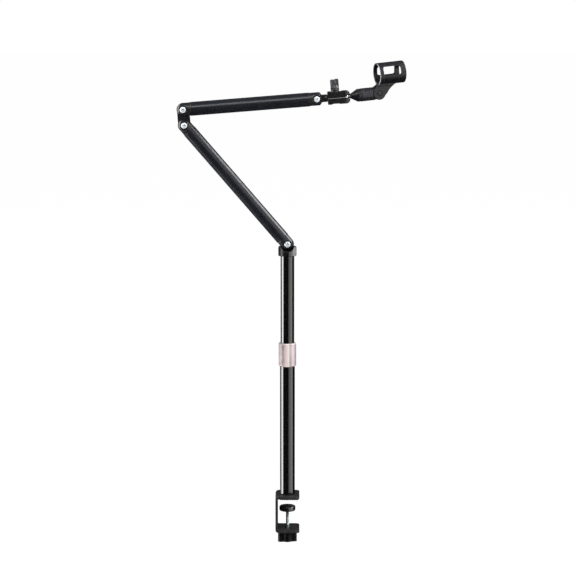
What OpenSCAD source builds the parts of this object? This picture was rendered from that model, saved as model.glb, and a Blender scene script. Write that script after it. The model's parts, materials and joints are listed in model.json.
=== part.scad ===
// Desk-clamp boom stand with a telescopic pole, two folding tube arms,
// a ball joint head and a microphone clip.
// Millimetres, +Z up. The origin is where the pole's axis meets the face that
// rests on the desk. The clamp's throat opens towards +X, the arms fold in the
// XZ plane.

/* [Clamp] */
// Width of the clamp strip, along the desk edge
strip_w = 50; // [38:1:56]
// Thickness of the clamp strip
strip_t = 4; // [3.5:0.5:4.5]
// Clear height between the jaws
throat_h = 52; // [48:1:70]
// Length of the jaws beyond the pole axis
jaw_reach = 19.4; // [17:0.2:30]
// Diameter of the presser foot
foot_d = 26; // [20:1:28]
// Distance from the desk face down to the presser foot
foot_drop = 14.6; // [13:0.2:20]
// Turn of the clamp knob about its screw, in degrees
knob_turn = 8; // [0:1:90]

/* [Pole] */
// Outer diameter of the lower tube
lower_od = 24; // [24:0.5:24]
// Outer diameter of the upper tube
upper_od = 22; // [22:0.5:22]
// Height of the lower tube's mouth above the desk face
lower_top = 239.6; // [200:0.2:260]
// Height of the arm's base pivot above the desk face
pivot_h = 414.3; // [400:1:440]
// Outer diameter of the locking collar
collar_d = 28.3; // [27.8:0.1:30]

/* [Arms] */
// Pivot to pivot length of the lower arm
arm1_len = 250; // [180:5:320]
// Pivot to pivot length of the upper arm
arm2_len = 212; // [160:4:300]
// Pivot to pivot length of the elbow link
link_len = 25; // [24:0.5:30]
// Direction of the lower arm above +X, in degrees
arm1_angle = 130.7; // [120:0.5:134]
// Direction of the elbow link above +X, in degrees
link_angle = 94.25; // [90:0.25:110]
// Direction of the upper arm above +X, in degrees
arm2_angle = 4.54; // [4.5:0.5:30]

/* [Head and clip] */
// Direction of the head above +X, in degrees
head_angle = 4.6; // [0:0.2:20]
// Swing of the clip on its ball, in degrees
clip_yaw = 17.5; // [-20:0.5:30]
// Turn of the wing screw, in degrees
wing_turn = 58; // [0:1:90]
// Inner diameter of the microphone clip
clip_id = 30; // [26:0.5:31]
// Outer diameter of the microphone clip
clip_od = 35; // [34.5:0.5:37]
// Length of the microphone clip
clip_len = 43.8; // [40:0.2:50]
// Tilt of the clip on its hinge, in degrees
clip_pitch = 0.5; // [0:0.5:10]

/* [Hidden] */
$fn = 72;

// Shared by several sections
touch_gap = 0.02;                  // between parts that seat on each other
m5_r = 2.5;
m5_hole = 5.1;
steel = [0.72, 0.73, 0.75];
bright_steel = [0.78, 0.79, 0.8];
plug_grey = [0.55, 0.56, 0.58];
washer_white = [0.88, 0.88, 0.85];
pole_black = [0.03, 0.03, 0.03];
arm_black = [0.07, 0.07, 0.08];
fork_black = [0.05, 0.05, 0.05];
link_black = [0.06, 0.06, 0.06];
clip_black = [0.06, 0.06, 0.07];

// Clamp levels
jaw_z = 1.5;                       // underside of the top jaw, above the pad
jaw_top = jaw_z + strip_t;
jaw_r = 6.5;                       // corner radius of the jaws' free ends
low_z = jaw_z - throat_h;          // top face of the bottom jaw
low_bot = low_z - strip_t;
spine_x = -19.4;                   // outer face of the strip's upright part
bend_r = 5.5;                      // outer radius of the strip's bends
bush_top = low_z + 6;
foot_top = -foot_drop;
foot_r = foot_d/2;
clamp_screw_bot = low_bot - 14;
knob_bot = low_bot - 19.5;

// Pole levels
lower_r = lower_od/2;
upper_r = upper_od/2;
lower_bore_r = lower_r - 0.8;
upper_bore_r = upper_r - 1;
foot_of_upper = 172;
cup_bot = pivot_h - 19;
cup_top = pivot_h - 3.3;
cup_seat = cup_bot + 4.9;
upper_top = cup_seat - 0.8;
top_plug_bot = upper_top - 20;
collar_bot = lower_top - 23.1;
collar_top = lower_top + 14.5;

// Arms
arm_od = 22;
arm_id = 19.6;
seam = 12.4;                       // pivot to the tube's end
spigot_r = arm_id/2 - 0.05;
spigot_x = 30;                     // pivot to the spigot's end
slot_w = 8.1;
slot_floor = 11.6;                 // pivot to the bottom of a fork's slot
tongue_t = 7;
tongue_r = 10.4;
head_y = 7.2;                      // depth of a screw's seat from the arm's axis

// Pivots
function offset_along(dist, angle) = dist*[cos(angle), 0, sin(angle)];
base_pivot = [0, 0, pivot_h];
elbow_low = base_pivot + offset_along(arm1_len, arm1_angle);
elbow_high = elbow_low + offset_along(link_len, link_angle);
head_pivot = elbow_high + offset_along(arm2_len, arm2_angle);

// Head, measured along its axis from the last pivot
block_s = 17.1;                    // start of the two shells
wing_s = 29.6;                     // axis of the wing screw
ball_s = 44.8;                     // centre of the ball
ball_r = 6;
seam_gap = 0.35;                   // each shell's distance from the middle plane
block_w = 17.2;
shell_reach = 12;                  // half size of the block the shells are cut from

// Stem, measured along its axis from the ball's centre
stem_bore_r = 3.05;
cone_end = 25.3;
insert_seat = 41.6;
hinge_u = 55;
hub_r = 10.3;
knuckle_r = 10.2;                  // ears of the clip
knuckle_gap = 11.2;                // recess they turn in

// Clip, measured from the hinge
hinge_hole_r = 2.05;
ring_n = 30;                       // clip axis above the hinge
ring_u = 1.1;                      // clip's near end ahead of the hinge

// ---------- helpers ----------

function arc(centre, radius, from, to, steps) =
    [for (i = [0:steps]) let (angle = from + (to - from)*i/steps)
        centre + radius*[cos(angle), sin(angle)]];

// Solid of revolution about X from [radius, x] points
module turned_x(points) rotate([0, 90, 0]) rotate_extrude() polygon(points);

// Solid of revolution about Z from [radius, z] points
module turned_z(points) rotate_extrude() polygon(points);

// Stands a Z shape on y = from, pointing along +Y
module along_y(from) translate([0, from, 0]) rotate([-90, 0, 0]) children();

module rod_y(radius, from, to) along_y(from) cylinder(r = radius, h = to - from);

module hex_z(across, height) cylinder(d = across/cos(30), h = height, $fn = 6);

module hex_y(across, from, to) along_y(from) hex_z(across, to - from);

// Outline in XZ drawn out along Y
module plate_y(from, to) translate([0, to, 0]) rotate([90, 0, 0]) linear_extrude(to - from) children();

// Rounded rectangle from corner to corner
module rounded_rect(low, high, radius) {
    size = high - low;
    translate([low.x + radius, low.y]) square([size.x - 2*radius, size.y]);
    translate([low.x, low.y + radius]) square([size.x, size.y - 2*radius]);
    for (x = [low.x + radius, high.x - radius], y = [low.y + radius, high.y - radius])
        translate([x, y]) circle(r = radius);
}

// Frames: origin on a pivot, +X along the part
module aimed(pivot, angle) translate(pivot) rotate([0, -angle, 0]) children();
module arm1_frame() aimed(base_pivot, arm1_angle) children();
module link_frame() aimed(elbow_low, link_angle) children();
module arm2_frame() aimed(elbow_high, arm2_angle) children();
module head_frame() aimed(head_pivot, head_angle) children();
module wing_frame() head_frame() translate([wing_s, 0, 0]) children();
module stem_frame() head_frame() translate([ball_s, 0, 0]) rotate([0, 0, clip_yaw]) children();
module clip_frame() stem_frame() aimed([hinge_u, 0, 0], clip_pitch) children();

// Far end of an arm, facing back towards its start
module far_end(length) translate([length, 0, 0]) rotate([0, 180, 0]) children();

module both_ends(length) {
    children();
    far_end(length) children();
}

// ---------- shared arm pieces ----------

// Fork end of an arm, pivot at the origin, spigot towards +X.
// end_points is the [radius, x] outline beyond the pivot.
module fork(end_points) difference() {
    turned_x(concat(end_points,
        [[arm_od/2, seam - 0.35], [arm_od/2 - 0.35, seam], [spigot_r, seam],
         [spigot_r, spigot_x - 0.8], [spigot_r - 0.8, spigot_x], [0, spigot_x]]));
    translate([-arm_od, -slot_w/2, -arm_od]) cube([arm_od + slot_floor, slot_w, 2*arm_od]);
    rod_y(m5_hole/2, -arm_od, arm_od);
    // pockets for the screw's head and the nut
    rod_y(6.75, -arm_od, -head_y);
    hex_y(8.15, head_y, arm_od);
}

function round_end() = arc([0, 0], arm_od/2, -90, 0, 14);
function blunt_end() = [[0, -8], [6.2, -8], [7.4, -7.6], [10.4, -5.2], [arm_od/2, -4.1]];

// Head at -Y, with a cross recess
module pivot_screw() difference() {
    rotate([90, 0, 0]) turned_z([[0, -10.9], [2.1, -10.9], [m5_r, -10.4],
        [m5_r, head_y + touch_gap], [5, head_y + touch_gap], [5, head_y + 1.5],
        [4.7, head_y + 2.2], [3.9, head_y + 2.7], [2.8, head_y + 3], [0, head_y + 3]]);
    for (angle = [45, 135]) rotate([0, angle, 0])
        translate([-2.4, -arm_od, -0.45]) cube([4.8, arm_od - 8.7, 0.9]);
}

module pivot_nut() difference() {
    hex_y(8, head_y + touch_gap, head_y + 3.6);
    rod_y(m5_hole/2, 0, arm_od);
}

// One washer on each side of the tongue
module washer_pair() {
    middle_y = 3.775;
    half_t = 0.25;
    for (side = [-1, 1]) difference() {
        rod_y(7, side*middle_y - half_t, side*middle_y + half_t);
        rod_y(2.6, -6, 6);
    }
}

module arm_tube(length) {
    start = seam + touch_gap;
    end = length - seam - touch_gap;
    turned_x([[arm_id/2, start], [arm_od/2 - 0.3, start], [arm_od/2, start + 0.3],
        [arm_od/2, end - 0.3], [arm_od/2 - 0.3, end], [arm_id/2, end]]);
}

// ---------- clamp ----------

// Discs at the strip's two bends
module bend_discs(radius) for (z = [low_bot + bend_r, jaw_top - bend_r])
    translate([spine_x + bend_r, z]) circle(r = radius);

module clamp_bracket() color([0.09, 0.09, 0.10]) difference() {
    bracket_h = jaw_top - low_bot;
    intersection() {
        // C section of the bent strip
        plate_y(-strip_w/2, strip_w/2) difference() {
            union() {
                translate([spine_x + bend_r, low_bot])
                    square([jaw_reach - spine_x - bend_r, bracket_h]);
                translate([spine_x, low_bot + bend_r]) square([2*bend_r, bracket_h - 2*bend_r]);
                bend_discs(bend_r);
            }
            union() {
                translate([spine_x + bend_r, low_z]) square([60, throat_h]);
                translate([spine_x + strip_t, low_bot + bend_r])
                    square([20, bracket_h - 2*bend_r]);
                bend_discs(bend_r - strip_t);
            }
        }
        // free ends of the jaws have rounded corners
        translate([0, 0, low_bot - 1]) linear_extrude(bracket_h + 2) union() {
            plan_x = spine_x - 1;
            translate([plan_x, -strip_w/2]) square([jaw_reach - plan_x - jaw_r, strip_w]);
            translate([plan_x, -strip_w/2 + jaw_r])
                square([jaw_reach - plan_x, strip_w - 2*jaw_r]);
            for (side = [-1, 1])
                translate([jaw_reach - jaw_r, side*(strip_w/2 - jaw_r)]) circle(r = jaw_r);
        }
    }
    // countersunk hole for the pole screw
    translate([0, 0, jaw_z - 1]) cylinder(d = 6.4, h = strip_t + 2);
    turned_z([[0, jaw_z - 0.5], [6.7, jaw_z - 0.5], [6.2, jaw_z], [3.1, jaw_z + 3.1],
        [0, jaw_z + 3.1]]);
    // hole for the threaded bush
    translate([0, 0, low_bot - 1]) cylinder(d = 6.7, h = strip_t + 2);
}

// Pad under the top jaw, grooved across its desk face
module jaw_pad() color([0.13, 0.13, 0.13]) difference() {
    margin = 1.2;
    groove_w = 1;
    groove_pitch = 3.2;
    linear_extrude(jaw_z - touch_gap)
        rounded_rect([-13.2, -strip_w/2 + margin], [jaw_reach - 1.0, strip_w/2 - margin], 5);
    for (k = [-3, -2, -1, 1, 2, 3, 4])
        translate([k*groove_pitch - groove_w/2, -strip_w, -1]) cube([groove_w, 2*strip_w, 1.5]);
}

module pole_screw() color([0.7, 0.7, 0.72]) difference() {
    turned_z([[0, jaw_z + 0.3], [5.6, jaw_z + 0.3], [5.75, jaw_z + 0.4], [3, jaw_z + 3.15],
        [3, 19.4], [2.5, 20], [0, 20]]);
    translate([0, 0, jaw_z - 1]) hex_z(4, 3.6);
}

module base_plug() color(plug_grey) difference() {
    plug_r = lower_bore_r - 0.05;
    plug_top = 25.5;
    turned_z([[0, jaw_top], [10.5, jaw_top], [plug_r, jaw_top + 0.7],
        [plug_r, plug_top - 0.7], [plug_r - 0.7, plug_top], [0, plug_top]]);
    translate([0, 0, jaw_top - 1]) cylinder(d = 6.1, h = 16);
}

module clamp_nut() color(steel) difference() {
    turned_z([[0, low_bot], [3.3, low_bot], [3.3, low_z + touch_gap], [3.8, low_z + touch_gap],
        [3.8, bush_top - 0.5], [3.4, bush_top], [0, bush_top]]);
    translate([0, 0, low_bot - 1]) cylinder(d = m5_hole, h = 20);
}

// ---------- presser foot and clamp screw ----------

module pressure_disc() color([0.06, 0.06, 0.06]) difference() {
    recess_r = foot_r - 2.0;
    recess_z = foot_top - 1.25;
    turned_z(concat([[0, foot_top - 8]],
        arc([foot_r - 2.1, foot_top - 5.9], 2.1, -90, 0, 7),
        arc([foot_r - 1.8, foot_top - 1.8], 1.8, 0, 78, 5),
        [[recess_r, foot_top - 0.1], [recess_r, recess_z], [0, recess_z]]));
    translate([0, 0, foot_top - 9]) cylinder(d = m5_hole, h = 6.4);
}

module pressure_pad() color([0.12, 0.12, 0.12]) {
    pad_r = foot_r - 2.05;
    pad_bot = foot_top - 1.22;
    turned_z([[0, pad_bot], [pad_r, pad_bot], [pad_r, foot_top - 0.4], [pad_r - 0.4, foot_top],
        [0, foot_top]]);
}

module clamp_screw() color(steel)
    turned_z([[0, clamp_screw_bot], [m5_r, clamp_screw_bot], [m5_r, foot_top - 3.2],
        [2.0, foot_top - 2.7], [0, foot_top - 2.7]]);

// Plan of the knob: a bar with a round middle, drawn in by inset
module knob_plan(inset) {
    corner = [15.4 - inset, 5 - inset];
    rounded_rect(-corner, corner, 3.4 - inset);
    circle(r = 8 - inset);
}

module clamp_knob() color([0.07, 0.07, 0.07]) rotate([0, 0, knob_turn]) difference() {
    neck_top = low_bot - 2.1;
    union() {
        translate([0, 0, knob_bot]) linear_extrude(15.2) knob_plan(0);
        turned_z([[0, knob_bot], [6, knob_bot], [6, neck_top - 1.3], [4.4, neck_top],
            [0, neck_top]]);
    }
    // horizontal finger grooves
    for (k = [0:4]) translate([0, 0, knob_bot + 1.6 + k*2.7]) linear_extrude(1.1) difference() {
        square([60, 60], center = true);
        knob_plan(0.6);
    }
    translate([0, 0, clamp_screw_bot - 0.05]) cylinder(d = m5_hole, h = 16);
}

// ---------- pole ----------

module lower_tube() color(pole_black)
    turned_z([[lower_bore_r, jaw_top + touch_gap], [lower_r - 0.4, jaw_top + touch_gap],
        [lower_r, jaw_top + 0.4], [lower_r, lower_top - 0.3], [lower_r - 0.3, lower_top],
        [lower_bore_r, lower_top]]);

// Sleeve round the lower tube's mouth, with a lip over its rim
module lock_body() color([0.15, 0.15, 0.16]) {
    inner_r = lower_r + touch_gap;
    outer_r = lower_r + 0.8;
    lip_r = upper_r + 0.25;
    turned_z([[inner_r, lower_top - 21], [outer_r - 0.2, lower_top - 21],
        [outer_r, lower_top - 20.5], [outer_r, lower_top + 1.3],
        [outer_r - 0.3, lower_top + 1.6], [lip_r, lower_top + 1.6],
        [lip_r, lower_top + touch_gap], [inner_r, lower_top + touch_gap]]);
}

// Tapered ring, slit through at +X and part way at the other three quarters
module lock_collet() color([0.85, 0.84, 0.80]) difference() {
    bore_r = upper_r + 0.05;
    turned_z([[bore_r, lower_top + 1.8], [upper_r + 1.5, lower_top + 1.8],
        [upper_r + 1.5, lower_top + 3.2], [upper_r + 0.5, lower_top + 11.4],
        [bore_r, lower_top + 11.4]]);
    translate([0, -0.8, lower_top]) cube([20, 1.6, 20]);
    for (angle = [90, 180, 270]) rotate([0, 0, angle])
        translate([0, -0.5, lower_top + 4]) cube([20, 1, 20]);
}

module lock_collar() color([0.85, 0.74, 0.72]) {
    outer_r = collar_d/2;
    bevel = 1.1;
    turned_z([
        // outside, from the bottom up
        [lower_r + 0.15, collar_bot], [outer_r - bevel, collar_bot],
        [outer_r, collar_bot + bevel], [outer_r, collar_top - bevel],
        [outer_r - bevel, collar_top],
        // inside, from the top down past the collet and the body
        [upper_r + 0.15, collar_top], [upper_r + 0.15, lower_top + 12],
        [upper_r + 0.75, lower_top + 11.4], [upper_r + 1.7, lower_top + 3.4],
        [upper_r + 1.85, lower_top + 1.9], [lower_r + 0.85, lower_top + 1.9],
        [lower_r + 0.85, lower_top - 21.4], [lower_r + 0.15, lower_top - 21.4]]);
}

module upper_tube() color(pole_black)
    turned_z([[upper_bore_r, foot_of_upper], [upper_r - 0.3, foot_of_upper],
        [upper_r, foot_of_upper + 0.3], [upper_r, upper_top - 0.3],
        [upper_r - 0.3, upper_top], [upper_bore_r, upper_top]]);

// Rim slides in the lower tube, spigot sits in the upper tube
module guide_bush() color([0.9, 0.9, 0.88]) {
    bore_r = 8;
    rim_r = lower_bore_r - touch_gap;
    plug_r = upper_bore_r - 0.03;
    rim_top = foot_of_upper - touch_gap;
    turned_z([[bore_r, foot_of_upper - 2], [lower_bore_r - 0.3, foot_of_upper - 2],
        [rim_r, foot_of_upper - 1.7], [rim_r, rim_top], [plug_r, rim_top],
        [plug_r, foot_of_upper + 12], [upper_bore_r - 0.8, foot_of_upper + 13],
        [bore_r, foot_of_upper + 13]]);
}

module top_plug() color(plug_grey) {
    plug_r = upper_bore_r - 0.03;
    turned_z([[m5_hole/2, top_plug_bot], [upper_bore_r - 0.7, top_plug_bot],
        [plug_r, top_plug_bot + 0.7], [plug_r, upper_top], [m5_hole/2, upper_top]]);
}

// ---------- swivel ----------

module pan_head() color([0.06, 0.06, 0.06]) difference() {
    skirt_r = upper_r + 0.15;
    union() {
        difference() {
            turned_z(concat([[0, cup_seat], [skirt_r, cup_seat], [skirt_r, cup_bot],
                    [13.9, cup_bot], [14.6, cup_bot + 0.7]],
                arc([11.6, cup_top - 3], 3, 0, 90, 8), [[0, cup_top]]));
            translate(base_pivot) rod_y(slot_floor, -20, 20);
            // the arm's tube needs room at both ends of its tilt
            for (tilt = [-46, 46]) translate(base_pivot)
                rotate([0, tilt, 0]) cylinder(r = arm_od/2 + 0.3, h = 40);
        }
        translate(base_pivot) plate_y(-tongue_t/2, tongue_t/2) union() {
            circle(r = tongue_r);
            translate([-tongue_r, -12.6]) square([2*tongue_r, 12.6]);
        }
    }
    translate(base_pivot) rod_y(m5_hole/2, -20, 20);
    translate([0, 0, cup_bot]) cylinder(d = m5_hole, h = 13.7);
}

module pan_bolt() color(steel) {
    bolt_bot = top_plug_bot - 8.6;
    bolt_top = cup_bot + 13.5;
    turned_z([[0, bolt_bot], [2.1, bolt_bot], [m5_r, bolt_bot + 0.5], [m5_r, bolt_top - 0.4],
        [2.1, bolt_top], [0, bolt_top]]);
}

module pan_washer() color(washer_white)
    turned_z([[2.7, upper_top + 0.04], [10.9, upper_top + 0.04], [10.9, cup_seat - 0.04],
        [2.7, cup_seat - 0.04]]);

module pan_spring_washer() color(steel) difference() {
    washer_bot = top_plug_bot - 1.6;
    washer_top = top_plug_bot - 0.05;
    turned_z([[2.6, washer_bot], [4.6, washer_bot], [4.6, washer_top], [2.6, washer_top]]);
    rotate([0, 0, 20]) translate([0, -0.4, top_plug_bot - 4]) cube([10, 0.8, 10]);
}

module pan_locknut() color(steel) difference() {
    union() {
        translate([0, 0, top_plug_bot - 5.8]) hex_z(8, 4.1);
        translate([0, 0, top_plug_bot - 6.9]) cylinder(d = 7.6, h = 2);
    }
    translate([0, 0, top_plug_bot - 10]) cylinder(d = m5_hole, h = 20);
}

// ---------- lower arm ----------

module lower_arm_tube() color(arm_black) arm1_frame() arm_tube(arm1_len);
module lower_arm_fork_base() color(fork_black) arm1_frame() fork(round_end());
module lower_arm_fork_elbow() color(fork_black) arm1_frame() far_end(arm1_len) fork(round_end());
module lower_arm_screws() color(bright_steel) arm1_frame() both_ends(arm1_len) pivot_screw();
module lower_arm_nuts() color(steel) arm1_frame() both_ends(arm1_len) pivot_nut();
module lower_arm_washers() color(washer_white) arm1_frame() both_ends(arm1_len) washer_pair();

// ---------- elbow ----------

module elbow_link() color(link_black) link_frame() difference() {
    waist = tongue_r - 0.6;        // half height between the two round ends
    plate_y(-tongue_t/2, tongue_t/2) union() {
        circle(r = tongue_r);
        translate([link_len, 0]) circle(r = tongue_r);
        translate([0, -waist]) square([link_len, 2*waist]);
    }
    for (x = [0, link_len]) translate([x, 0, 0]) rod_y(m5_hole/2, -10, 10);
}

// ---------- upper arm ----------

module upper_arm_tube() color(arm_black) arm2_frame() arm_tube(arm2_len);
module upper_arm_fork_elbow() color(fork_black) arm2_frame() fork(round_end());
module upper_arm_fork_head() color(fork_black) arm2_frame() far_end(arm2_len) fork(blunt_end());
module upper_arm_screws() color(bright_steel) arm2_frame() both_ends(arm2_len) pivot_screw();
module upper_arm_nuts() color(steel) arm2_frame() both_ends(arm2_len) pivot_nut();
module upper_arm_washers() color(washer_white) arm2_frame() both_ends(arm2_len) washer_pair();

// ---------- head ----------

// Tongue with a flanged journal that the shells close on
module head_tongue() color(fork_black) head_frame() union() {
    difference() {
        plate_y(-tongue_t/2, tongue_t/2) union() {
            circle(r = 7.5);
            translate([0, -5.8]) square([13, 11.6]);
        }
        rod_y(m5_hole/2, -10, 10);
    }
    turned_x([[0, 12.3], [5.4, 12.3], [6, 12.9], [6, 16.3], [5.4, 16.9], [4, 16.9], [4, 20.3],
        [5.5, 20.3], [5.5, 23.3], [0, 23.3]]);
}

// Everything cut out of the two halves: journal, flange, ball, mouth, screw
module head_cavity() {
    turned_x([[0, 10], [4.06, 10], [4.06, 20.2], [5.56, 20.2], [5.56, 23.4], [0, 23.4]]);
    translate([ball_s, 0, 0]) sphere(r = ball_r + 0.08);
    translate([ball_s, 0, -3.7]) linear_extrude(7.4)
        polygon([[-5.4, 0], [14, 16.3], [20, 0], [14, -16.3]]);
    translate([wing_s, 0, -20]) cylinder(d = 5.3, h = 40);
}

// Block with a side outline in XZ and a plan that is round at the ball's end
module head_block(bottom, outline) intersection() {
    plate_y(-shell_reach, shell_reach) polygon(outline);
    translate([0, 0, bottom]) linear_extrude(shell_reach) union() {
        translate([block_s, -block_w/2]) square([ball_s - block_s, block_w]);
        translate([ball_s, 0]) circle(r = block_w/2);
    }
}

module head_shell_upper() color([0.04, 0.04, 0.04]) head_frame() difference() {
    union() {
        head_block(0, concat([[block_s, seam_gap], [block_s, 8.6], [block_s + 1.2, 9.8],
                [37.6, 8.8], [39, 9.0], [40.6, 9.6], [45.4, 9.6]],
            arc([46.3, 3.0], 6.6, 80, 0, 8), [[52.9, seam_gap]]));
        // boss round the wing screw
        translate([wing_s, 0, 5]) cylinder(d = 14, h = 5.5);
    }
    head_cavity();
}

module head_shell_lower() color([0.04, 0.04, 0.04]) head_frame() difference() {
    head_block(-shell_reach, concat([[block_s, -seam_gap], [block_s, -9.6],
            [block_s + 0.8, -10.4], [23.4, -10.4], [25.4, -9.5], [34.4, -9.5], [36.4, -10.3],
            [46, -10.4]],
        arc([46.5, -4.1], 6.4, -80, 0, 8), [[52.9, -seam_gap]]));
    head_cavity();
    // pocket for the square nut
    translate([wing_s - 4.1, -4.1, -12]) cube([8.2, 8.2, 7.4]);
}

module wing_nut() color(steel) wing_frame() difference() {
    translate([-4, -4, -8.4]) cube([8, 8, 3.7]);
    translate([0, 0, -20]) cylinder(d = m5_hole, h = 40);
}

module wing_washer() color(steel) wing_frame()
    turned_z([[2.7, 10.53], [6.2, 10.53], [6.2, 11.3], [2.7, 11.3]]);

module wing_stud() color(steel) wing_frame()
    turned_z([[0, -8.2], [2.1, -8.2], [m5_r, -7.8], [m5_r, 16], [0, 16]]);

// [x, z] outline of the wing at -X, from its root round to the dip between the wings
wing_outline = [[-6.6, 13.2], [-9.4, 16], [-10, 18.4], [-10, 27.2], [-8.8, 28.8],
    [-4, 28.8], [-2.6, 27.2], [-1.6, 21.6]];
wing_dip = [0, 20.4];

module wing_knob() color([0.10, 0.10, 0.10]) wing_frame() rotate([0, 0, wing_turn]) difference() {
    union() {
        turned_z([[0, 11.33], [6.3, 11.33], [6.8, 11.8], [6.8, 15.4], [5.2, 18.6], [4, 19.6],
            [0, 19.6]]);
        plate_y(-1.9, 1.9) polygon(concat(wing_outline, [wing_dip],
            [for (i = [len(wing_outline) - 1:-1:0]) [-wing_outline[i].x, wing_outline[i].y]]));
    }
    translate([0, 0, 5]) cylinder(d = m5_hole, h = 11.05);
}

// ---------- ball stem ----------

module ball_stud() color([0.85, 0.85, 0.86]) stem_frame() {
    neck_r = 3.2;
    turned_x(concat(arc([0, 0], ball_r, -90, acos(neck_r/ball_r), 26),
        [[neck_r, 11.6], [3, 12], [3, 37.4], [2.5, 38], [0, 38]]));
}

module hub_cone() color(clip_black) stem_frame() difference() {
    rim_r = hub_r - 0.2;
    turned_x([[3.3, 9.6], [4, 9.6], [9.2, 19.2], [rim_r, 20.4], [rim_r, cone_end - 0.6],
        [hub_r - 0.7, cone_end], [stem_bore_r, cone_end], [stem_bore_r, 12], [3.3, 11.7]]);
    // twelve grooves, each down the cone and on along the rim
    for (i = [0:11]) rotate([i*30 + 15, 0, 0]) translate([0, -0.6, 0]) {
        translate([9.6, 0, 4.3]) rotate([0, -28.4, 0]) cube([9.5, 1.2, 6]);
        translate([18.4, 0, 9.5]) cube([5.3, 1.2, 6]);
    }
}

module mic_hub() color([0.08, 0.08, 0.09]) stem_frame() difference() {
    socket_r = 6.05;
    hub_start = cone_end + 0.1;
    hub_end = hinge_u - 2.2;
    root_x = 43;
    union() {
        difference() {
            turned_x([[socket_r, hub_start], [hub_r - 0.2, hub_start], [hub_r + 0.1, 25.8],
                [hub_r, hub_end], [0, hub_end], [0, insert_seat], [socket_r, insert_seat]]);
            translate([hinge_u, 0, 0]) rod_y(knuckle_gap, -20, 20);
        }
        // tongue between the clip's ears
        plate_y(-3.5, 3.5) union() {
            translate([hinge_u, 0]) circle(r = 9.6);
            translate([root_x, -8]) square([hinge_u - root_x, 16]);
        }
    }
    translate([hinge_u, 0, 0]) rod_y(hinge_hole_r, -10, 10);
}

module hub_insert() color([0.78, 0.62, 0.30]) stem_frame() difference() {
    turned_x([[stem_bore_r, 25.6], [5.8, 25.6], [6, 25.8], [6, 41.1], [5.7, 41.4],
        [stem_bore_r, 41.4]]);
    // ring grooves
    for (x = [29.5, 33.5, 37.5]) rotate([0, 90, 0]) translate([0, 0, x]) difference() {
        cylinder(r = 8, h = 1);
        translate([0, 0, -1]) cylinder(r = 5.5, h = 3);
    }
}

// ---------- microphone clip ----------

// Large disc that hollows the underside of the clip's neck
module neck_sweep() translate([40, -16.2]) circle(r = 31);

module clip_holder() color(clip_black) clip_frame() difference() {
    bore_r = clip_id/2;
    lead_in = 0.9;
    neck_end = clip_len + ring_u - 0.8;
    union() {
        translate([ring_u, 0, ring_n]) rotate([0, 90, 0]) cylinder(d = clip_od, h = clip_len);
        // neck that sweeps from the hinge up into the ring
        plate_y(-7.6, 7.6) difference() {
            polygon([[-4, 0], [-4, 10], [1.4, 14.6], [1.4, 19], [neck_end, 19], [neck_end, 0]]);
            neck_sweep();
        }
        // ears
        plate_y(-9, 9) intersection() {
            union() {
                circle(r = knuckle_r);
                polygon([[0, 0.5], [0, -5], [6.5, -7.2], [13.55, 0], [13.6, 0.5]]);
                difference() {
                    translate([-4, 0]) square([30, 11]);
                    neck_sweep();
                }
            }
            translate([-20, -20]) square([60, 31]);
        }
    }
    // bore with a lead-in at both ends
    translate([ring_u, 0, ring_n]) turned_x([[0, -1], [bore_r + lead_in, -1],
        [bore_r + lead_in, 0], [bore_r, lead_in], [bore_r, clip_len - lead_in],
        [bore_r + lead_in, clip_len], [bore_r + lead_in, clip_len + 1], [0, clip_len + 1]]);
    // side windows
    plate_y(-30, 30)
        rounded_rect([ring_u + 6.4, ring_n - 2.8], [ring_u + clip_len - 8.4, ring_n + 11], 3.2);
    // room between the ears
    translate([-20, -3.6, -20]) cube([60, 7.2, 31.2]);
    // hinge hole with its pockets for screw head and nut
    rod_y(hinge_hole_r, -20, 20);
    rod_y(4.1, -20, -6.5);
    hex_y(7.15, 6, 20);
}

// Head at -Y, with a single slot
module clip_pivot_screw() color([0.25, 0.25, 0.26]) clip_frame() difference() {
    rotate([90, 0, 0]) turned_z([[0, -8.8], [1.7, -8.8], [2, -8.4], [2, 6.52], [3.8, 6.52],
        [3.8, 7.9], [3.3, 8.6], [2.2, 8.9], [0, 8.9]]);
    translate([-2.6, -20, -0.4]) cube([5.2, 12.2, 0.8]);
}

module clip_pivot_nut() color(plug_grey) clip_frame() difference() {
    hex_y(7, 6.02, 8.9);
    rod_y(hinge_hole_r, 0, 20);
}

clamp_bracket();
jaw_pad();
pole_screw();
base_plug();
clamp_nut();
lower_tube();
lock_body();
lock_collet();
pressure_disc();
pressure_pad();
clamp_screw();
clamp_knob();
lock_collar();
upper_tube();
guide_bush();
top_plug();
pan_head();
pan_bolt();
pan_washer();
pan_spring_washer();
pan_locknut();
lower_arm_tube();
lower_arm_fork_base();
lower_arm_fork_elbow();
lower_arm_screws();
lower_arm_nuts();
lower_arm_washers();
elbow_link();
upper_arm_tube();
upper_arm_fork_elbow();
upper_arm_fork_head();
upper_arm_screws();
upper_arm_nuts();
upper_arm_washers();
head_tongue();
head_shell_upper();
head_shell_lower();
wing_nut();
wing_washer();
wing_knob();
wing_stud();
ball_stud();
hub_cone();
mic_hub();
hub_insert();
clip_holder();
clip_pivot_screw();
clip_pivot_nut();
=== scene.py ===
"""A small black microphone arm: a clamp and pole, two jointed arms, a ball head and a clip.

Metres, +Z up. The camera looks along +Y, so -Y is the front and +X is the right of the picture.
The CAD pieces give the shapes; this script rounds their edges, adds a screw thread and
procedural materials, and sets up the floor, the lights and the camera.
"""
import json
import math
from contextlib import contextmanager
from functools import cached_property

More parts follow.
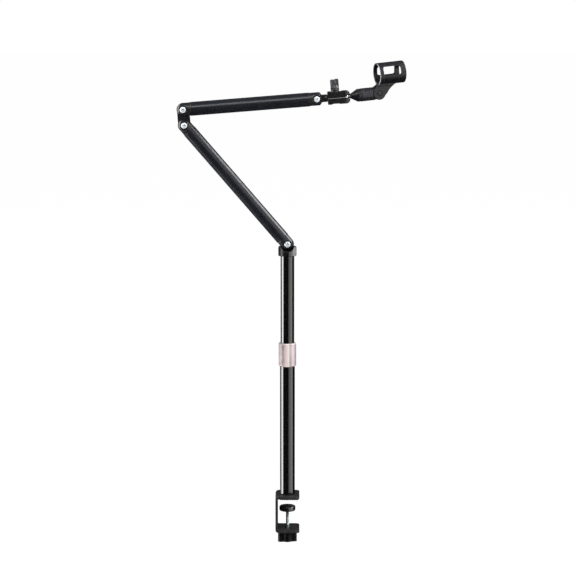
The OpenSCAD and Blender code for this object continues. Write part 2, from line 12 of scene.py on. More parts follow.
import bmesh
import bpy
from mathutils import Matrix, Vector


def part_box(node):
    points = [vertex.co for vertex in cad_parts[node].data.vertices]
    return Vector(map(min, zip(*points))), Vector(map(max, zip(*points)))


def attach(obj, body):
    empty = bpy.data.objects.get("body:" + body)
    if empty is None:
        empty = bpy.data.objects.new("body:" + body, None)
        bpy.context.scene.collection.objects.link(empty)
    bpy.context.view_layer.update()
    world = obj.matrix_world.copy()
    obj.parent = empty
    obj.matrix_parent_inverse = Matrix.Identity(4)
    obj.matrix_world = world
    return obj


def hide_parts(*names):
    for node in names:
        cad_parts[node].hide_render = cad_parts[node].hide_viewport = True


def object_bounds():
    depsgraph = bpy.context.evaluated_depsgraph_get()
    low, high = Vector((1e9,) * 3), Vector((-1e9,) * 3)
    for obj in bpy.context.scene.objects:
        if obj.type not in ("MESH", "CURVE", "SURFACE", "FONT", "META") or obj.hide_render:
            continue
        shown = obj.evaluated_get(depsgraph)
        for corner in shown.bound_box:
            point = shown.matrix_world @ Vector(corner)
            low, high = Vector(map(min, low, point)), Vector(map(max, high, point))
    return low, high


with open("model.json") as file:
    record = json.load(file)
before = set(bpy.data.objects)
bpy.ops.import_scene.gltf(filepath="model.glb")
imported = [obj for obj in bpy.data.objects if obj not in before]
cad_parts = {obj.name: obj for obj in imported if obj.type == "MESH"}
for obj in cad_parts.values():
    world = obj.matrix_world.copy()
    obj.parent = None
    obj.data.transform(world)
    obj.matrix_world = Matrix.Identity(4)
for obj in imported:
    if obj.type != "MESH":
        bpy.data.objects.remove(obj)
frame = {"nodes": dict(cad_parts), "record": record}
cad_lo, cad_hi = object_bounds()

MM = 0.001

NODES = frame["nodes"]
RECORD = frame["record"]
BODY_OF = {n: b for b, ns in RECORD["behaviour"]["bodies"].items() for n in ns}
SLOT_OF = {part["node"]: part["material_slot"] for part in RECORD["subparts"]}

JOINT = {joint["name"]: joint for joint in RECORD["behaviour"]["joints"]}
BALL = Vector(JOINT["ball_swing"]["pos_m"])                  # centre of the ball
WING_AXIS = Vector(JOINT["wing_screw_turn"]["axis"])         # clamping screw of the ball head

CLIP_BORE = [m for m in RECORD["mounts"] if m["name"] == "clip_bore"][0]
CLIP_AXIS = Vector(CLIP_BORE["axis"])
MOUTH_REACH = 0.0219                                         # from the bore's mount to its mouth
MOUTH = Vector(CLIP_BORE["pos_m"]) - MOUTH_REACH * CLIP_AXIS

BACKWARD = (0, 1, 0)


# ------------------------------------------------------------------ node trees

def scaled(color, gain):
    return tuple(min(1, c * gain) for c in color)


class Tree:
    """Builds the shader nodes of a material or a world. Lengths are in metres."""

    def __init__(self, owner):
        owner.use_nodes = True
        self.tree = owner.node_tree
        self.tree.nodes.clear()

    @cached_property
    def coords(self):
        return self.add("ShaderNodeTexCoord").outputs["Object"]

    def add(self, kind, inputs=None, **props):
        node = self.tree.nodes.new(kind)
        for key, value in props.items():
            setattr(node, key, value)
        for key, value in (inputs or {}).items():
            self.put(node.inputs[key], value)
        return node

    def put(self, socket, value):
        """Links a socket, or sets a constant."""
        if isinstance(value, bpy.types.NodeSocket):
            self.tree.links.new(value, socket)
        elif isinstance(value, tuple) and len(value) == 3 and socket.type == "RGBA":
            socket.default_value = (*value, 1)
        else:
            socket.default_value = value

    # patterns

    def noise(self, scale, detail=3.0, rough=0.55, stretch=None, distortion=0.0):
        coords = self.coords
        if stretch:
            mapping = self.add("ShaderNodeMapping", {"Vector": coords, "Scale": stretch})
            coords = mapping.outputs["Vector"]
        return self.add("ShaderNodeTexNoise", {
            "Vector": coords, "Scale": scale, "Detail": detail,
            "Roughness": rough, "Distortion": distortion}).outputs["Fac"]

    def voronoi(self, scale):
        inputs = {"Vector": self.coords, "Scale": scale}
        return self.add("ShaderNodeTexVoronoi", inputs, feature="F1").outputs["Distance"]

    def wave_z(self, scale, distortion):
        inputs = {"Vector": self.coords, "Scale": scale, "Distortion": distortion, "Detail": 2.0}
        return self.add("ShaderNodeTexWave", inputs, bands_direction="Z").outputs["Fac"]

    # arithmetic

    def ramp(self, value, stops):
        node = self.add("ShaderNodeValToRGB", {"Fac": value})
        elements = node.color_ramp.elements
        while len(elements) < len(stops):
            elements.new(0.5)
        for i, (position, color) in enumerate(stops):
            elements[i].position = position
            elements[i].color = (*color, 1)
        return node.outputs["Color"]

    def span(self, value, of=(0.3, 0.7), to=(0, 1)):
        """Maps one range to another; the default source is the usual reach of a noise."""
        return self.add("ShaderNodeMapRange", {
            "Value": value, "From Min": of[0], "From Max": of[1],
            "To Min": to[0], "To Max": to[1]}).outputs["Result"]

    def math(self, operation, a, b):
        return self.add("ShaderNodeMath", {0: a, 1: b}, operation=operation).outputs["Value"]

    def times(self, a, b):
        return self.math("MULTIPLY", a, b)

    def plus(self, a, b, amount=None):
        """a + b, or a + b * amount."""
        return self.math("ADD", a, b if amount is None else self.times(b, amount))

    def minus(self, a, b):
        return self.math("SUBTRACT", a, b)

    def vector_math(self, operation, a, b, output="Value"):
        node = self.add("ShaderNodeVectorMath", {0: a, 1: b}, operation=operation)
        return node.outputs[output]

    def mix(self, factor, a, b, amount=None):
        """Colour a where the factor is 0, b where it is 1; amount weakens the factor."""
        if amount is not None:
            factor = self.times(factor, amount)
        inputs = {"Factor": factor, 6: a, 7: b}    # 6 and 7 are the colour sockets A and B
        return self.add("ShaderNodeMix", inputs, data_type="RGBA").outputs[2]

    # masks

    def near(self, place, inner, outer):
        """1 within inner of a place on the resting part, 0 beyond outer."""
        return self.span(self.vector_math("DISTANCE", self.coords, place), (inner, outer), (1, 0))

    def along(self, place, axis, start, end):
        """1 below start along an axis from a place on the resting part, 0 beyond end."""
        offset = self.vector_math("SUBTRACT", self.coords, place, output="Vector")
        return self.span(self.vector_math("DOT_PRODUCT", offset, axis), (start, end), (1, 0))

    def normal(self):
        return self.add("ShaderNodeNewGeometry").outputs["Normal"]

    def facing_x(self):
        """World X of the surface normal."""
        return self.add("ShaderNodeSeparateXYZ", {0: self.normal()}).outputs["X"]

    def rim(self, of, edge_on):
        """1 on surfaces that face the viewer, edge_on on surfaces seen edge-on."""
        weight = self.add("ShaderNodeLayerWeight", {"Blend": 0.5})
        return self.span(weight.outputs["Facing"], of, to=(1, edge_on))

    def bevel(self, radius):
        return self.add("ShaderNodeBevel", {"Radius": radius}, samples=4).outputs["Normal"]

    def edge(self, radius):
        """1 on sharp edges, 0 on flats."""
        alike = self.vector_math("DOT_PRODUCT", self.bevel(radius), self.normal())
        return self.span(self.minus(1.0, alike), of=(0.02, 0.25))

    # surfaces

    def bump(self, height, strength, distance, bevel=None):
        """Relief, on edges rounded to the bevel radius if one is given."""
        inputs = {"Height": height, "Strength": strength, "Distance": distance}
        if bevel is not None:
            inputs["Normal"] = self.bevel(bevel)
        return self.add("ShaderNodeBump", inputs).outputs["Normal"]

    def shader(self, kind, **inputs):
        return self.add(kind, inputs).outputs[0]

    def mix_shader(self, factor, a, b):
        return self.add("ShaderNodeMixShader", {"Fac": factor, 1: a, 2: b}).outputs[0]

    def ray(self, kind):
        return self.add("ShaderNodeLightPath").outputs[kind]

    def finish(self, surface, kind="ShaderNodeOutputMaterial"):
        self.add(kind, {"Surface": surface})

    def principled(self, color, rough, normal, metal=0.0, coat=0.0, coat_rough=0.03,
                   spec=0.5, ior=1.5, subsurface=0.0):
        self.finish(self.add("ShaderNodeBsdfPrincipled", {
            "Base Color": color, "Roughness": rough, "Metallic": metal, "Normal": normal,
            "Specular IOR Level": spec, "IOR": ior, "Coat Weight": coat,
            "Coat Roughness": coat_rough, "Subsurface Weight": subsurface}).outputs["BSDF"])


# ------------------------------------------------------------------ finishes

def powder_coat(t, base):
    """Textured powder coat: fine pebbling, edges darkened by painted shade, slight rubbing."""
    grain = 1400
    color = t.mix(t.span(t.noise(scale=60), of=(0.35, 0.7)),
                  scaled(base, 0.75), scaled(base, 1.3))
    # painted shade: edges and creases darkened to 0.12 of the base colour
    color = t.mix(t.edge(radius=0.0018), color, scaled(base, 0.12), amount=0.85)
    rubbed = t.span(t.noise(scale=240, detail=4), of=(0.55, 0.70))
    worn = t.times(t.edge(radius=0.0004), rubbed)
    color = t.mix(worn, color, (0.04, 0.04, 0.043), amount=0.3)
    pebble = t.plus(t.noise(scale=grain, detail=2, rough=0.6),
                    t.voronoi(scale=grain * 0.8), amount=0.5)
    t.principled(
        color,
        rough=t.span(t.noise(scale=110), to=(0.42, 0.56)),
        normal=t.bump(pebble, strength=0.35, distance=0.00016, bevel=0.0004),
        spec=t.times(0.33, t.rim(of=(0.6, 0.9), edge_on=0.2)))


def gloss_paint(t, base):
    """High-gloss paint with faint orange peel, dust and wiping marks."""
    peel = t.noise(scale=420, detail=2, rough=0.5)
    wipe = t.noise(scale=60, detail=4, rough=0.6, stretch=(1, 1, 0.12), distortion=0.4)
    rough = t.span(wipe, of=(0.35, 0.7), to=(0.10, 0.14))
    dust = t.span(t.noise(scale=2600, detail=1, rough=0.5), of=(0.70, 0.78))
    rim = t.rim(of=(0.62, 0.76), edge_on=0.10)
    t.principled(
        t.mix(dust, base, (0.05, 0.05, 0.055), amount=0.10),
        rough=t.plus(rough, dust, amount=0.10),
        normal=t.bump(peel, strength=0.022, distance=0.0002, bevel=0.0002),
        coat=t.times(0.5, rim), coat_rough=0.08, spec=t.times(0.5, rim))


def satin(t, base, rough, spec):
    """Satin finish with fine blasted grain, soft blotches and paler edges."""
    blotch = t.noise(scale=38, detail=4, rough=0.6)
    color = t.mix(t.span(blotch), scaled(base, 0.82), scaled(base, 1.22))
    worn = t.times(t.edge(radius=0.0005), t.span(t.noise(scale=300), of=(0.45, 0.65)))
    color = t.mix(worn, color, (0.06, 0.06, 0.066), amount=0.4)
    grain = t.noise(scale=2600, detail=2, rough=0.6, stretch=(1, 1, 1))
    scuff = t.span(t.noise(scale=140, detail=5, rough=0.7, distortion=1.2), of=(0.55, 0.75))
    t.principled(
        color,
        rough=t.plus(t.span(blotch, to=rough), scuff, amount=0.05),
        normal=t.bump(grain, strength=0.06, distance=0.00004, bevel=0.0003),
        spec=t.times(spec, t.rim(of=(0.60, 0.80), edge_on=0.12)))


def moulded_plastic(t, base, rough, spec, edge_gain=3.2, accent=None):
    """Injection-moulded plastic: grain, flow variation, paler edges that are partly polish and
    partly painted highlight.

    accent(t, color) lays one more local colour over the finish; the accents used here paint a
    highlight.
    """
    grain = 900
    flow = t.noise(scale=45, detail=4, distortion=1.5)
    color = t.mix(t.span(flow), scaled(base, 0.8), scaled(base, 1.25))
    edge = t.edge(radius=0.0006)
    # paler edges, partly polish and partly painted highlight; the larger gains paint the
    # highlight
    color = t.mix(edge, color, scaled(base, edge_gain), amount=0.3)
    texture = t.plus(t.noise(scale=grain, rough=0.6), t.voronoi(scale=grain * 0.7), amount=0.6)
    polish = t.times(edge, 0.1)
    rough = t.minus(t.span(flow, to=rough), polish)
    if accent:
        color = accent(t, color)
    t.principled(
        color, rough,
        normal=t.bump(texture, strength=0.25, distance=0.00008, bevel=0.0004),
        spec=t.times(spec, t.rim(of=(0.65, 0.85), edge_on=0.15)))


def painted_lip_highlight(t, color):
    """Painted highlight: pale end face at the clip's mouth, on the front side of the ring."""
    lip = t.times(t.along(MOUTH, CLIP_AXIS, start=0.0007, end=0.0011),
                  t.near(MOUTH, inner=0.0172, outer=0.0176))
    lip = t.times(lip, t.along(MOUTH, BACKWARD, start=-0.009, end=-0.002))
    return t.mix(lip, color, (0.30, 0.30, 0.31))


def painted_seam_highlight(t, color):
    """Painted highlight: pale edge along the clamping slot, front side only, in front of the
    ball.
    """
    line = t.times(t.along(BALL, -WING_AXIS, start=0.0009, end=0.0011),
                   t.along(BALL, BACKWARD, start=-0.004, end=-0.001))
    return t.mix(line, color, (0.17, 0.17, 0.18))


def lacquer_with_painted_sheen(t, base):
    """Brushed and lacquered metal with a painted highlight: a pale sheen colour painted on faces
    turned to +X, less coat and specular towards -X.
    """
    swirl = t.noise(scale=180, detail=4, rough=0.6, distortion=2.0)
    side = t.facing_x()
    painted_sheen = t.times(t.span(side, of=(0.60, 0.74)), t.span(side, of=(0.90, 0.97), to=(1, 0.35)))
    brush = t.noise(scale=1.0, rough=0.5, stretch=(3, 3, 1800))
    color = t.mix(t.span(t.noise(scale=70), of=(0.35, 0.7)), base, scaled(base, 1.8))
    # painted highlight: pale colour laid on faces whose normal points to +X
    color = t.mix(t.times(painted_sheen, t.span(brush, to=(0.85, 1.0))), color, (0.165, 0.165, 0.17))
    calm = t.span(side, of=(-0.75, -0.15), to=(0.05, 1.0))
    t.principled(
        color,
        rough=t.plus(t.span(swirl, of=(0.35, 0.7), to=(0.12, 0.2)),
                     t.span(side, of=(-0.7, 0.0), to=(0.22, 0.0))),
        normal=t.bump(t.noise(scale=500, detail=2), strength=0.05, distance=0.0001, bevel=0.0004),
        coat=t.times(0.5, calm), coat_rough=0.05, ior=1.55, spec=t.times(0.5, calm))


def gloss_plastic(t, base):
    """Polished plastic with faint swirls."""
    swirl = t.noise(scale=180, detail=4, rough=0.6, distortion=2.0)
    t.principled(
        t.mix(t.span(t.noise(scale=70), of=(0.35, 0.7)), base, scaled(base, 1.8)),
        rough=t.span(swirl, of=(0.35, 0.7), to=(0.2, 0.3)),
        normal=t.bump(t.noise(scale=500, detail=2), strength=0.05, distance=0.0001, bevel=0.0004),
        coat=0.5, coat_rough=0.05, ior=1.55)


# Painted reflections of the rose metal: colour bands set by the world X of the surface normal;
# place from the -X side (0) to the +X side (1), colour.
ROSE_PAINTED_REFLECTIONS = [
    (0.000, (0.132, 0.113, 0.12)), (0.056, (0.132, 0.113, 0.12)),
    (0.113, (0.069, 0.05, 0.055)), (0.169, (0.025, 0.02, 0.02)),
    (0.226, (0.02, 0.02, 0.02)), (0.282, (0.116, 0.074, 0.08)),
    (0.339, (0.302, 0.225, 0.224)), (0.395, (0.399, 0.345, 0.329)),
    (0.452, (0.533, 0.453, 0.436)), (0.508, (0.527, 0.498, 0.481)),
    (0.565, (0.591, 0.57, 0.507)), (0.621, (0.34, 0.262, 0.252)),
    (0.678, (0.174, 0.143, 0.143)), (0.734, (0.241, 0.197, 0.224)),
    (0.791, (0.358, 0.315, 0.312)), (0.847, (0.361, 0.312, 0.369)),
    (0.904, (0.309, 0.262, 0.307)), (0.960, (0.18, 0.165, 0.191)),
    (1.000, (0.18, 0.165, 0.191)),
]


def rose_metal(t):
    """Satin rose-gold anodised aluminium, turned: fine rings; the soft bands round Z are painted
    reflections, and the edges carry a painted highlight.
    """
    ring = t.wave_z(scale=1500, distortion=0.25)
    fine_ring = t.noise(scale=1.0, detail=2, rough=0.5, stretch=(3, 3, 2600))
    tint = t.noise(scale=50, rough=0.5)
    # painted reflection: colour chosen by which way the surface faces in X
    painted_reflection = t.ramp(t.span(t.facing_x(), of=(-1.0, 1.0)), ROSE_PAINTED_REFLECTIONS)
    color = t.mix(t.span(tint, to=(0, 0.25)), painted_reflection, (0.80, 0.66, 0.64))
    color = t.mix(t.span(fine_ring, of=(0.35, 0.7)), color, (0.50, 0.37, 0.36), amount=0.12)
    # painted highlight: near-white colour on the edges, standing in for light on the chamfers
    color = t.mix(t.edge(radius=0.0004), color, (0.97, 0.92, 0.90), amount=0.7)
    t.principled(
        color,
        rough=t.span(fine_ring, to=(0.36, 0.46)),
        normal=t.bump(t.plus(t.times(ring, 0.4), fine_ring),
                      strength=0.10, distance=0.00004, bevel=0.0003),
        metal=0.35, spec=0.4)


def bare_metal(t, base, rough, scale=900, stain=None, metal=1.0):
    """Plated or bare metal with fine tool marks, staining, bright edges, and painted shade where
    the surface is seen edge-on.
    """
    mark = t.noise(scale=scale, detail=4, rough=0.65, stretch=(1, 1, 1))
    stained = t.span(t.noise(scale=90, detail=4, rough=0.6), of=(0.4, 0.75))
    color = t.mix(stained, base, stain or scaled(base, 0.72))
    color = t.mix(t.edge(radius=0.00025), color, scaled(base, 1.25), amount=0.5)
    # painted shade: colour falls to 0.22 of the base towards surfaces seen edge-on
    color = t.mix(t.rim(of=(0.30, 0.75), edge_on=0.0), scaled(base, 0.22), color)
    t.principled(
        color,
        rough=t.span(mark, to=rough),
        normal=t.bump(mark, strength=0.12, distance=0.00005, bevel=0.00015),
        metal=metal)


def mirror_chrome(t):
    """Polished chrome ball on a blackened neck."""
    neck_rough = 0.34
    haze = t.noise(scale=350, detail=4, rough=0.6)
    scratch = t.span(t.noise(scale=120, detail=6, rough=0.75, distortion=3.0), of=(0.60, 0.68))
    ball_rough = t.plus(t.span(haze, to=(0.05, 0.10)), scratch, amount=0.12)
    ball = t.near(BALL, inner=0.00610, outer=0.00622)
    chrome = t.mix(t.span(haze), (0.86, 0.87, 0.89), (0.78, 0.79, 0.81))
    neck = t.mix(haze, (0.006, 0.006, 0.006), (0.012, 0.012, 0.013))
    t.principled(
        t.mix(ball, neck, chrome),
        rough=t.plus(neck_rough, t.times(ball, t.minus(ball_rough, neck_rough))),
        normal=t.bump(haze, strength=0.03, distance=0.00005),
        metal=ball, spec=0.4)


def rubber(t, base):
    """Matt pitted rubber with a pale bloom."""
    bloom = t.noise(scale=90, detail=4, rough=0.6)
    pit = t.plus(t.noise(scale=1500), t.voronoi(scale=1200), amount=0.6)
    t.principled(
        t.mix(t.span(bloom, of=(0.4, 0.75)), base, scaled(base, 2.2)),
        rough=t.span(bloom, to=(0.72, 0.88)),
        normal=t.bump(pit, strength=0.35, distance=0.00012, bevel=0.0003),
        spec=0.35)


def white_nylon(t):
    cloud = t.noise(scale=120)
    t.principled(
        t.mix(t.span(cloud), (0.80, 0.79, 0.74), (0.88, 0.87, 0.83)),
        rough=t.span(cloud, to=(0.42, 0.55)),
        normal=t.bump(t.noise(scale=1200, detail=2), strength=0.1, distance=0.00005),
        subsurface=0.1)


# ------------------------------------------------------------------ materials

def material(name, finish, **look):
    made = bpy.data.materials.new(name)
    finish(Tree(made), **look)
    return made


# Material slot: finish and its look.
SLOT_LOOKS = {
    "clamp_black": (powder_coat, dict(base=(0.0098, 0.0098, 0.0104))),
    "pole_black": (gloss_paint, dict(base=(0.0012, 0.0012, 0.0013))),
    "arm_black": (satin, dict(base=(0.0044, 0.0048, 0.0074), rough=(0.27, 0.35), spec=0.4)),
    "joint_black": (satin, dict(base=(0.0060, 0.0061, 0.0070), rough=(0.28, 0.38), spec=0.4)),
    "cup_black": (lacquer_with_painted_sheen, dict(base=(0.0020, 0.0020, 0.0021))),
    "rose_collar": (rose_metal, {}),
    "zinc": (bare_metal, dict(base=(0.34, 0.39, 0.39), rough=(0.36, 0.46),
                              stain=(0.25, 0.29, 0.29))),
    "screw_steel": (bare_metal, dict(base=(0.72, 0.76, 0.79), rough=(0.38, 0.5),
                                     scale=1400, metal=0.6)),
    "black_oxide": (satin, dict(base=(0.0060, 0.0060, 0.0066), rough=(0.3, 0.4), spec=0.45)),
    "ball_chrome": (mirror_chrome, {}),
    "brass_insert": (bare_metal, dict(base=(0.78, 0.58, 0.27), rough=(0.22, 0.34),
                                      stain=(0.55, 0.38, 0.16))),
    "plug_alloy": (bare_metal, dict(base=(0.70, 0.71, 0.73), rough=(0.28, 0.42))),
    "nylon": (white_nylon, {}),
    "foot_black": (gloss_plastic, dict(base=(0.0016, 0.0016, 0.0017))),
    "rubber_black": (rubber, dict(base=(0.010, 0.010, 0.010))),
    "knob_black": (moulded_plastic, dict(base=(0.0012, 0.0012, 0.0013), rough=(0.34, 0.46),
                                         spec=0.18)),
    "head_black": (moulded_plastic, dict(base=(0.0034, 0.0034, 0.0037), rough=(0.28, 0.40),
                                         spec=0.42, edge_gain=14)),
    "clip_black": (moulded_plastic, dict(base=(0.0036, 0.0037, 0.0052), rough=(0.34, 0.44),
                                         spec=0.36, edge_gain=5, accent=painted_lip_highlight)),
}
SLOT_MATERIAL = {name: material(name, finish, **look)
                 for name, (finish, look) in SLOT_LOOKS.items()}

# Pieces that differ in shade from the rest of their slot.
OWN_MATERIAL = {
    "wing_knob": material("wing_black", moulded_plastic, base=(0.020, 0.020, 0.0225),
                          rough=(0.30, 0.42), spec=0.45, edge_gain=2.4),
    "mic_hub": material("hub_black", moulded_plastic, base=(0.0074, 0.0078, 0.0106),
                        rough=(0.36, 0.46), spec=0.4),
    # the lower head shell differs by a lower edge gain and a painted highlight along its seam
    "head_shell_lower": material("head_lower_black", moulded_plastic,
                                 base=(0.0034, 0.0034, 0.0037), rough=(0.28, 0.40),
                                 spec=0.42, accent=painted_seam_highlight),
}


def paint(o, node):
    """Gives a whole object the material of a CAD node."""
    o.data.materials.clear()
    o.data.materials.append(OWN_MATERIAL.get(node) or SLOT_MATERIAL[SLOT_OF[node]])
    for p in o.data.polygons:
        p.material_index = 0


for node, o in NODES.items():
    paint(o, node)


# ------------------------------------------------------------------ mesh work

@contextmanager
def editing(mesh):
    bm = bmesh.new()
    bm.from_mesh(mesh)
    yield bm
    bm.to_mesh(mesh)
    bm.free()


def add_object(name, data):
    o = bpy.data.objects.new(name, data)
    bpy.context.scene.collection.objects.link(o)
    return o


def smooth(o):
    for p in o.data.polygons:
        p.use_smooth = True


def cad_copy(node):
    """A new object with the welded surface of a CAD node."""
    o = add_object(node + "_shown", NODES[node].data.copy())
    with editing(o.data) as bm:
        bmesh.ops.remove_doubles(bm, verts=bm.verts, dist=1e-6)
        bmesh.ops.recalc_face_normals(bm, faces=bm.faces)
    return o


def apply_modifiers(o):
    depsgraph = bpy.context.evaluated_depsgraph_get()
    bpy.context.view_layer.update()
    result = bpy.data.meshes.new_from_object(o.evaluated_get(depsgraph), depsgraph=depsgraph)
    old = o.data
    o.modifiers.clear()
    o.data = result
    bpy.data.meshes.remove(old)


def stand_for(o, node):
    """Finishes a piece: it replaces a CAD node, rides its body and takes its material."""
    paint(o, node)
    smooth(o)
    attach(o, BODY_OF[node])
    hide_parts(node)


def moulded(node, voxel, passes):
    """Rounds every outer edge and fills every inner corner, as moulding and casting do."""
    o = cad_copy(node)
    remesh = o.modifiers.new("remesh", "REMESH")
    remesh.mode = "VOXEL"
    remesh.voxel_size = voxel * MM
    remesh.adaptivity = 0.0
    remesh.use_smooth_shade = True
    relax = o.modifiers.new("smooth", "SMOOTH")
    relax.factor = 0.5
    relax.iterations = passes
    apply_modifiers(o)
    stand_for(o, node)


def bevelled(node, width):
    """Breaks the sharp edges of a machined or bent piece."""
    o = cad_copy(node)
    with editing(o.data) as bm:
        # merge the flat facets so that only true edges are bevelled
        bmesh.ops.dissolve_limit(bm, angle_limit=math.radians(0.4), verts=bm.verts,
                                 edges=bm.edges, use_dissolve_boundaries=False)
    bevel = o.modifiers.new("bevel", "BEVEL")
    bevel.width = width * MM
    bevel.segments = 2
    bevel.limit_method = "ANGLE"
    bevel.angle_limit = math.radians(35)
    apply_modifiers(o)
    stand_for(o, node)
    o.data.set_sharp_from_angle(angle=math.radians(42))


def clamp_screw_thread():
    """Closed rod along Z at the origin with a right-handed helical thread."""
    # millimetres
    radius = 2.5
    pitch = 0.8
    depth = 0.30
    plain_top = 3.0                       # unthreaded length at the top
    run_out = 1.2 * pitch                 # length over which the thread fades in and out
    foot_chamfer, foot_slope = 0.6, 0.8   # height, and radius lost per height
    top_chamfer = 0.4
    segments = 28
    rows_per_turn = 8

    lo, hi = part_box("clamp_screw")
    z0, z1 = lo.z / MM, hi.z / MM
    rows = int(round((z1 - z0) / (pitch / rows_per_turn)))
    verts, faces = [], []
    for j in range(rows + 1):
        z = z0 + (z1 - z0) * j / rows
        fade = max(0.0, min(1.0, (z - z0) / run_out, (z1 - plain_top - z) / run_out))
        for i in range(segments):
            angle = 2 * math.pi * i / segments
            turn = (z / pitch - i / segments) % 1.0
            to_root = abs(2 * turn - 1)   # 1 at the root, 0 at the crest
            cut = min(1.0, max(0.0, (to_root - 0.12) / 0.76))
            r = radius - depth * cut * fade
            if z - z0 < foot_chamfer:
                r = min(r, radius - (foot_chamfer - (z - z0)) * foot_slope)
            if z1 - z < top_chamfer:
                r = min(r, radius - (top_chamfer - (z1 - z)))
            verts.append((r * math.cos(angle) * MM, r * math.sin(angle) * MM, z * MM))
    for j in range(rows):
        low, high = j * segments, (j + 1) * segments
        for i in range(segments):
            k = (i + 1) % segments
            faces.append((low + i, low + k, high + k, high + i))
    faces.append(tuple(reversed(range(segments))))
    faces.append(tuple(rows * segments + i for i in range(segments)))

    mesh = bpy.data.meshes.new("clamp_screw_thread")
    mesh.from_pydata(verts, [], faces)
    mesh.validate()
    with editing(mesh) as bm:
        bmesh.ops.recalc_face_normals(bm, faces=bm.faces)
    o = add_object("clamp_screw_thread", mesh)
    stand_for(o, "clamp_screw")
    o.data.set_sharp_from_angle(angle=math.radians(50))


# Moulded pieces: node, voxel size in mm, smoothing passes.
MOULDED = (
    ("clip_holder", 0.32, 8),
    ("head_shell_upper", 0.2, 8),
    ("head_shell_lower", 0.2, 8),
    ("wing_knob", 0.16, 7),
    ("clamp_knob", 0.26, 5),
    ("pan_head", 0.22, 7),
    ("head_tongue", 0.2, 5),
    ("elbow_link", 0.25, 6),
    ("mic_hub", 0.25, 5),
    ("hub_cone", 0.18, 5),
)

# Machined and bent pieces: node, bevel width in mm.
BEVELLED = (
    ("clamp_bracket", 0.45),
    ("jaw_pad", 0.25),
    ("lower_arm_fork_base", 0.35),
    ("lower_arm_fork_elbow", 0.35),
    ("upper_arm_fork_elbow", 0.35),
    ("upper_arm_fork_head", 0.35),
    ("lower_arm_nuts", 0.2),
    ("upper_arm_nuts", 0.2),
    ("lower_arm_screws", 0.12),
    ("upper_arm_screws", 0.12),
    ("clip_pivot_screw", 0.1),
    ("clip_pivot_nut", 0.15),
)

clamp_screw_thread()
for node, voxel, passes in MOULDED:
    moulded(node, voxel, passes)
for node, width in BEVELLED:
    bevelled(node, width)

# CAD pieces that are shown as they are
for o in NODES.values():
    if not o.hide_render:
        smooth(o)
        o.data.set_sharp_from_angle(angle=math.radians(35))


# ------------------------------------------------------------------ stage

WHITE = (1, 1, 1)
COOL = (0.97, 0.97, 1.0)
WARM = (1, 0.985, 0.95)
FLOOR_DROP = 0.024      # clear of the clamp knob at the bottom of its travel
FLOOR_RADIUS = 14.0


def floor_finish(t):
    """Glowing white to the camera, plain white to other rays, clear from below."""
    diffuse = t.shader("ShaderNodeBsdfDiffuse", Color=(0.9, 0.9, 0.9))
    glow = t.shader("ShaderNodeEmission", Color=WHITE, Strength=0.975)
    faint = t.shader("ShaderNodeBsdfDiffuse", Color=(0.03, 0.03, 0.03))
    seen = t.add("ShaderNodeAddShader", {0: faint, 1: glow}).outputs[0]
    top = t.mix_shader(t.ray("Is Camera Ray"), diffuse, seen)
    below = t.add("ShaderNodeNewGeometry").outputs["Backfacing"]
    t.finish(t.mix_shader(below, top, t.shader("ShaderNodeBsdfTransparent")))


def build_floor():
    bm = bmesh.new()
    bmesh.ops.create_circle(bm, cap_ends=True, segments=96, radius=FLOOR_RADIUS)
    mesh = bpy.data.meshes.new("floor")
    bm.to_mesh(mesh)
    bm.free()
    floor = add_object("floor", mesh)
    floor.location = (0, 0, cad_lo.z - FLOOR_DROP)
    mesh.materials.append(material("floor", floor_finish))
    floor.visible_glossy = False
    floor.visible_shadow = False


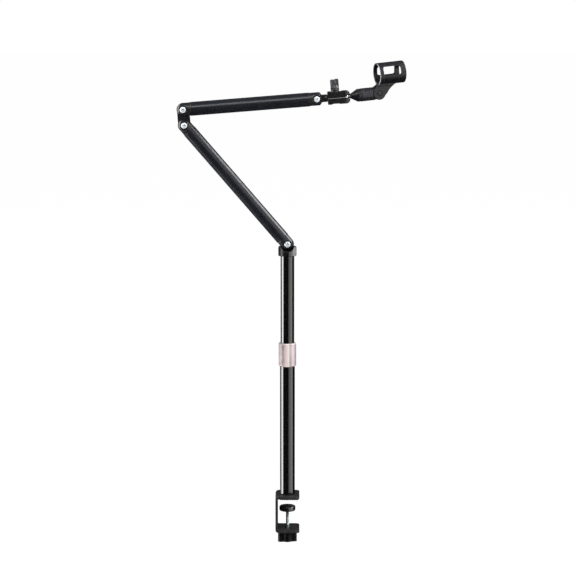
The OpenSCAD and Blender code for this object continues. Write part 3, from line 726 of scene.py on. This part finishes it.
def build_world():
    """White to the camera, a dim room in reflections, soft fill for everything else."""
    world = bpy.data.worlds.new("studio")
    bpy.context.scene.world = world
    t = Tree(world)
    air = (0.97, 0.98, 1.0)
    white = t.shader("ShaderNodeBackground", Color=WHITE, Strength=1.0)
    direction = t.add("ShaderNodeTexCoord").outputs["Generated"]
    height = t.add("ShaderNodeSeparateXYZ", {"Vector": direction}).outputs["Z"]
    room = t.shader("ShaderNodeBackground", Color=air,
                    Strength=t.span(height, of=(0.05, 1.0), to=(0.02, 0.30)))
    soft = t.shader("ShaderNodeBackground", Color=air, Strength=0.5)
    rays = t.add("ShaderNodeLightPath").outputs
    unseen = t.mix_shader(rays["Is Glossy Ray"], soft, room)
    t.finish(t.mix_shader(rays["Is Camera Ray"], unseen, white), kind="ShaderNodeOutputWorld")


def aim(o, place, target):
    o.location = place
    o.rotation_mode = "QUATERNION"
    o.rotation_quaternion = (Vector(target) - Vector(place)).to_track_quat("-Z", "Y")


# Area lights: name, place, target, width and height, watts, colour.
SOFTBOXES = (
    ("left_strip", (-2.58, -0.10, 0.45), (0, 0, 0.4), (1.55, 3.4), 165, WHITE),
    ("left_back", (-1.9, 1.75, 0.9), (0, 0, 0.5), (1.8, 4.0), 12, COOL),
    ("left_top", (-1.9, 1.05, 2.1), (0, 0, 0.6), (0.8, 0.8), 18, WHITE),
    ("right_side", (2.77, -1.06, 0.3), (0, 0, 0.3), (2.0, 3.4), 50, WARM),
    ("right_front", (1.72, -2.46, 0.3), (0, 0, 0.3), (1.6, 3.4), 26, WARM),
    ("overhead", (-0.2, -1.95, 2.3), (-0.05, 0, 0.6), (2.8, 0.7), 46, (0.95, 0.96, 1.0)),
    ("rim_strip", (1.95, 0.15, 2.2), (0, 0, 0.5), (1.5, 1.5), 92, COOL),
)


def build_lights():
    for name, place, target, size, power, color in SOFTBOXES:
        light = bpy.data.lights.new(name, "AREA")
        light.shape = "RECTANGLE"
        light.size, light.size_y = size
        light.energy = power
        light.color = color
        light.spread = math.radians(180)
        aim(add_object(name, light), place, target)


def build_camera():
    data = bpy.data.cameras.new("camera")
    data.type = "PERSP"
    data.sensor_width = 36.0
    data.lens = 148.4
    data.clip_start, data.clip_end = 0.05, 60
    camera = add_object("camera", data)
    aim(camera, place=(0.00096, -3.7532, 0.9374), target=(0.00096, 0, 0.34292))
    bpy.context.scene.camera = camera


build_floor()
build_world()
build_lights()
build_camera()

bpy.context.scene.view_settings.view_transform = "Standard"
bpy.context.scene.view_settings.look = "None"
